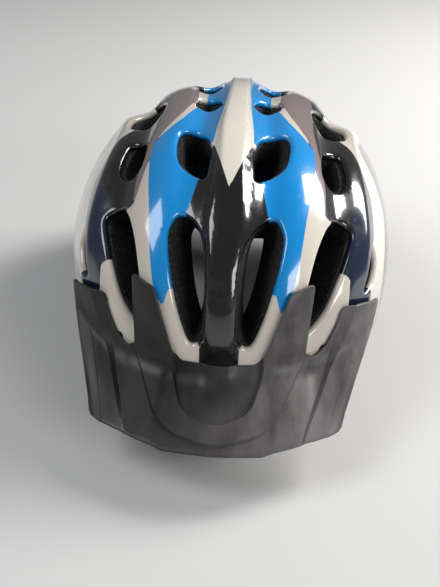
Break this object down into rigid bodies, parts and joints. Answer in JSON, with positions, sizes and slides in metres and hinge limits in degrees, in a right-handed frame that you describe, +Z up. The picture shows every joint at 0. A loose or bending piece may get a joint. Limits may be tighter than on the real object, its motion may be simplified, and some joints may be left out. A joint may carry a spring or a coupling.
{
  "type": "cycling helmet",
  "caption": "Vented cycling helmet: gloss printed shell over a foam liner, matte clip-on visor, dial-fit cradle, comfort pads and buckled chin strap.",
  "frame": {"origin": "on the surface the helmet rests on, under the middle of its bounding box", "axes": "+Z up, -Y towards the front (the visor), +X the wearer's left, the viewer's right from the front"},
  "size_m": [0.21, 0.3388, 0.159],
  "materials": {
    "shell_gloss": "in-moulded polycarbonate skin, printed gloss black, azure blue, warm white, mauve-grey and navy, clear coated",
    "foam_bead": "black expanded-polystyrene bead foam",
    "visor_matte": "matte dark grey moulded plastic, dusty and scuffed",
    "black_plastic": "black moulded nylon",
    "knob_grey": "grey moulded knob",
    "steel_parts": "zinc-plated steel",
    "pad_fabric": "dark navy brushed knit over soft foam",
    "hook_tape": "black hook tape",
    "webbing_black": "black woven nylon webbing",
    "rubber_ring": "black rubber"
  },
  "bodies": {
    "helmet": {"outer_shell": "shell_gloss", "foam_liner": "foam_bead", "visor_socket_left": "black_plastic", "visor_socket_right": "black_plastic", "visor_socket_centre": "black_plastic", "brow_pad": "pad_fabric", "crown_pad": "pad_fabric", "upper_pad_left": "pad_fabric", "upper_pad_right": "pad_fabric", "side_pad_left": "pad_fabric", "side_pad_right": "pad_fabric", "rear_pad": "pad_fabric", "brow_hook": "hook_tape", "crown_hook": "hook_tape", "upper_hook_left": "hook_tape", "upper_hook_right": "hook_tape", "side_hook_left": "hook_tape", "side_hook_right": "hook_tape", "rear_hook": "hook_tape", "temple_anchor_left": "black_plastic", "temple_anchor_right": "black_plastic", "temple_pin_left": "steel_parts", "temple_pin_right": "steel_parts", "strap_anchor_front_left": "black_plastic", "strap_anchor_front_right": "black_plastic", "strap_anchor_rear_left": "black_plastic", "strap_anchor_rear_right": "black_plastic", "front_strap_left": "webbing_black", "front_strap_right": "webbing_black", "rear_strap_left": "webbing_black", "rear_strap_right": "webbing_black", "strap_divider_left": "black_plastic", "strap_divider_right": "black_plastic", "chin_strap_short": "webbing_black", "buckle_female": "black_plastic"},
    "visor_unit": {"visor": "visor_matte", "visor_peg_left": "black_plastic", "visor_peg_right": "black_plastic", "visor_peg_centre": "black_plastic"},
    "cradle_unit": {"dial_housing": "black_plastic", "dial_cover": "black_plastic", "detent_spring": "steel_parts", "nape_pad_left": "pad_fabric", "nape_pad_right": "pad_fabric"},
    "dial": {"dial_knob": "knob_grey", "dial_pinion": "black_plastic", "dial_screw": "steel_parts"},
    "headband_left": {"band_left": "black_plastic"},
    "headband_right": {"band_right": "black_plastic"},
    "chin_strap": {"chin_strap_long": "webbing_black", "buckle_male": "black_plastic", "strap_keeper": "rubber_ring"},
    "cam_lever_left": {"divider_lever_left": "black_plastic"},
    "cam_lever_right": {"divider_lever_right": "black_plastic"}
  },
  "joints": [
    {"name": "visor_pull_off", "type": "slide", "parent": "helmet", "child": "visor_unit", "axis": [0, -1, 0], "range_m": [0, 0.012]},
    {"name": "cradle_slide", "type": "slide", "parent": "helmet", "child": "cradle_unit", "axis": [0, -1, 0], "range_m": [0, 0.0079]},
    {"name": "dial_turn", "type": "hinge", "parent": "cradle_unit", "child": "dial", "pos_m": [0, 0.1226, 0.0275], "axis": [0, 1, 0], "range_deg": [0, 150]},
    {"name": "band_left_draw", "type": "hinge", "parent": "helmet", "child": "headband_left", "pos_m": [-0.0735, -0.0036, 0.026], "axis": [0, 0, -1], "range_deg": [0, 6]},
    {"name": "band_right_draw", "type": "hinge", "parent": "helmet", "child": "headband_right", "pos_m": [0.0735, -0.0036, 0.026], "axis": [0, 0, 1], "range_deg": [0, 6]},
    {"name": "buckle_release", "type": "hinge", "parent": "helmet", "child": "chin_strap", "pos_m": [-0.0618, 0.0234, 0.009], "axis": [0, 0, -1], "range_deg": [0, 7]},
    {"name": "cam_lever_left_lift", "type": "hinge", "parent": "helmet", "child": "cam_lever_left", "pos_m": [-0.0706, 0.0234, 0.0028], "axis": [0, -1, 0], "range_deg": [0, 70]},
    {"name": "cam_lever_right_lift", "type": "hinge", "parent": "helmet", "child": "cam_lever_right", "pos_m": [0.0706, 0.0234, 0.0028], "axis": [0, 1, 0], "range_deg": [0, 70]}
  ],
  "couplings": [
    {"joint": "dial_turn", "follows": "cradle_slide", "rad_per_m": 331.3},
    {"joint": "band_left_draw", "follows": "cradle_slide", "rad_per_m": 12.66},
    {"joint": "band_right_draw", "follows": "cradle_slide", "rad_per_m": 12.66}
  ]
}
